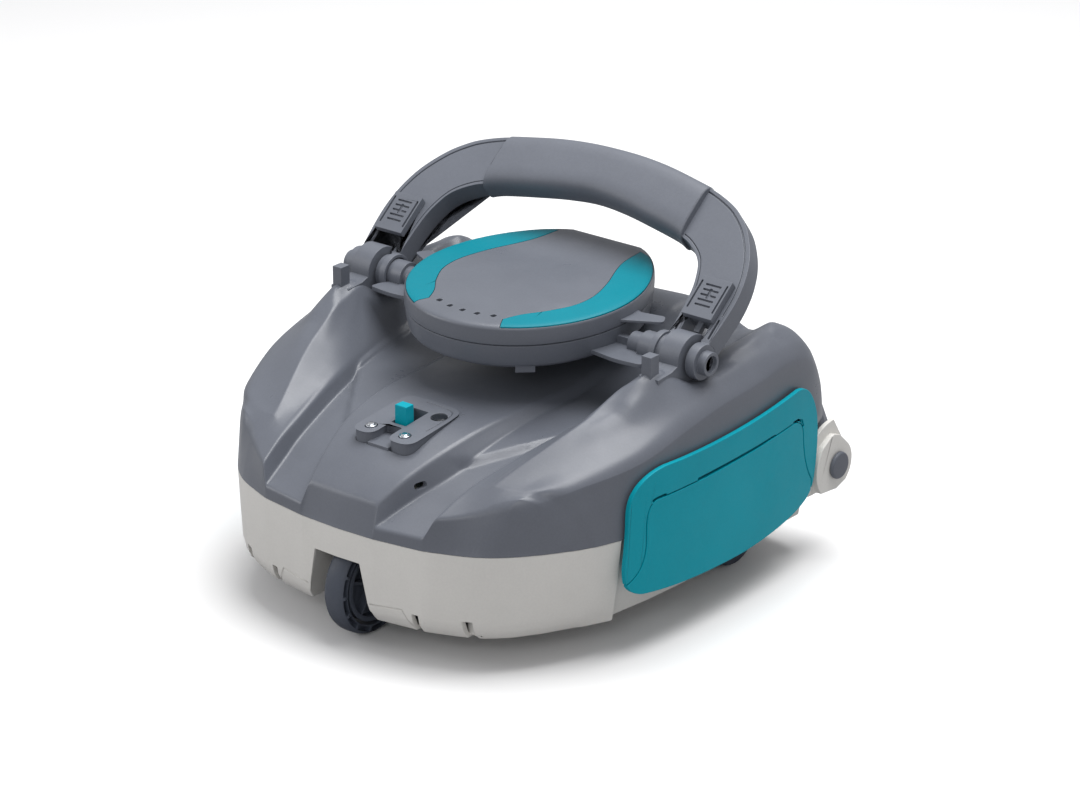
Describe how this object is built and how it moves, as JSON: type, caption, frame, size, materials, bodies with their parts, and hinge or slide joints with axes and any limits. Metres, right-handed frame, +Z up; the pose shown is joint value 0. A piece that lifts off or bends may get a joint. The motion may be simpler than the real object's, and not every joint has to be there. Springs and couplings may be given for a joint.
{
  "type": "robotic pool cleaner",
  "caption": "Cordless pool-floor cleaner with a carrying handle, tilting round pod, wheeled base and an opening upper shell with side latch flaps.",
  "frame": {"origin": "centre of the footprint on the floor, under the lowest point of the wheels", "axes": "+Z up, -Y the front with the single wheel, +X the right side seen from the front"},
  "size_m": [0.3084, 0.321, 0.2423],
  "materials": {
    "slate_plastic": "fine-textured grey polypropylene",
    "stainless": "polished stainless steel",
    "smoked_lens": "smoked gloss lens",
    "teal_plastic": "satin teal plastic",
    "light_grey_plastic": "warm light grey plastic",
    "dark_rubber": "matt dark rubber",
    "dark_slate_plastic": "darker satin grey plastic",
    "white_mesh": "off-white moulded mesh",
    "cell_wrap": "blue shrink wrap on the battery",
    "board_green": "green circuit board",
    "foam": "closed-cell foam"
  },
  "bodies": {
    "base": {"lower_housing": "light_grey_plastic", "front_screw_right": "stainless", "front_screw_left": "stainless", "rear_screw_right": "stainless", "rear_screw_left": "stainless", "front_axle": "stainless", "rear_axle_right": "stainless", "rear_axle_left": "stainless", "floor_wiper": "dark_rubber", "filter_basket": "white_mesh"},
    "front_wheel": {"front_tyre": "dark_rubber", "front_wheel_hub": "dark_slate_plastic"},
    "rear_wheel_r": {"rear_wheel_right": "dark_rubber"},
    "rear_wheel_l": {"rear_wheel_left": "dark_rubber"},
    "inlet_door": {"inlet_flap": "dark_slate_plastic"},
    "shell": {"upper_shell": "slate_plastic", "control_pad": "slate_plastic", "charge_contact_left": "stainless", "charge_contact_right": "stainless", "status_lens": "smoked_lens", "pump_deck": "light_grey_plastic", "pump_housing": "dark_slate_plastic", "pump_motor": "stainless", "outlet_nozzle": "dark_slate_plastic", "battery_pack": "cell_wrap", "control_case": "dark_slate_plastic", "control_board": "board_green", "rear_pin_right": "dark_slate_plastic", "rear_pin_left": "dark_slate_plastic", "side_panel_right": "teal_plastic", "side_panel_left": "teal_plastic", "hinge_post_right": "slate_plastic", "hinge_post_left": "slate_plastic", "pivot_pin_right": "stainless", "pivot_pin_left": "stainless"},
    "switch": {"power_switch": "teal_plastic"},
    "flap_r": {"side_flap_right": "teal_plastic"},
    "flap_l": {"side_flap_left": "teal_plastic"},
    "handle": {"handle_arm_right": "slate_plastic", "handle_arm_left": "slate_plastic", "handle_grip": "dark_slate_plastic"},
    "latch_r": {"latch_slider_right": "dark_slate_plastic", "latch_spring_right": "stainless"},
    "latch_l": {"latch_slider_left": "dark_slate_plastic", "latch_spring_left": "stainless"},
    "pod": {"pod_lower": "dark_slate_plastic", "pod_cover": "slate_plastic", "pod_accent_right": "teal_plastic", "pod_accent_left": "teal_plastic", "pod_seal": "dark_rubber", "pod_float": "foam"},
    "impeller": {"impeller": "teal_plastic"}
  },
  "joints": [
    {"name": "shell_open", "type": "hinge", "parent": "base", "child": "shell", "pos_m": [0, 0.1445, 0.0562], "axis": [-1, 0, 0], "range_deg": [0, 50]},
    {"name": "handle_tilt", "type": "hinge", "parent": "shell", "child": "handle", "pos_m": [0, 0.0209, 0.1594], "axis": [1, 0, 0], "range_deg": [-8, 86]},
    {"name": "latch_right", "type": "slide", "parent": "handle", "child": "latch_r", "axis": [0, 0.7771, 0.6293], "range_m": [0, 0.004], "stiffness_N_per_m": 200, "springref_m": -0.008},
    {"name": "latch_left", "type": "slide", "parent": "handle", "child": "latch_l", "axis": [0, 0.7771, 0.6293], "range_m": [0, 0.004], "stiffness_N_per_m": 200, "springref_m": -0.008},
    {"name": "pod_tilt", "type": "hinge", "parent": "shell", "child": "pod", "pos_m": [0, 0.0209, 0.1594], "axis": [1, 0, 0], "range_deg": [0, 6]},
    {"name": "power_slide", "type": "slide", "parent": "shell", "child": "switch", "axis": [0, 1, 0], "range_m": [0, 0.009]},
    {"name": "flap_right", "type": "hinge", "parent": "shell", "child": "flap_r", "pos_m": [0.1547, 0.0035, 0.0975], "axis": [0, -1, 0], "range_deg": [0, 35], "stiffness_Nm_per_rad": 0.02, "springref_deg": -17.19},
    {"name": "flap_left", "type": "hinge", "parent": "shell", "child": "flap_l", "pos_m": [-0.1547, 0.0035, 0.0975], "axis": [0, 1, 0], "range_deg": [0, 35], "stiffness_Nm_per_rad": 0.02, "springref_deg": -17.19},
    {"name": "front_wheel_spin", "type": "hinge", "parent": "base", "child": "front_wheel", "pos_m": [0, -0.1284, 0.0321], "axis": [1, 0, 0], "continuous": true},
    {"name": "rear_wheel_right_spin", "type": "hinge", "parent": "base", "child": "rear_wheel_r", "pos_m": [0.108, 0.0855, 0.024], "axis": [1, 0, 0], "continuous": true},
    {"name": "rear_wheel_left_spin", "type": "hinge", "parent": "base", "child": "rear_wheel_l", "pos_m": [-0.108, 0.0855, 0.024], "axis": [1, 0, 0], "continuous": true},
    {"name": "inlet_flap_lift", "type": "hinge", "parent": "base", "child": "inlet_door", "pos_m": [0, -0.0301, 0.0288], "axis": [1, 0, 0], "range_deg": [0, 55]},
    {"name": "impeller_spin", "type": "hinge", "parent": "shell", "child": "impeller", "pos_m": [0, 0.0335, 0.1022], "axis": [0, 1, 0], "continuous": true}
  ]
}
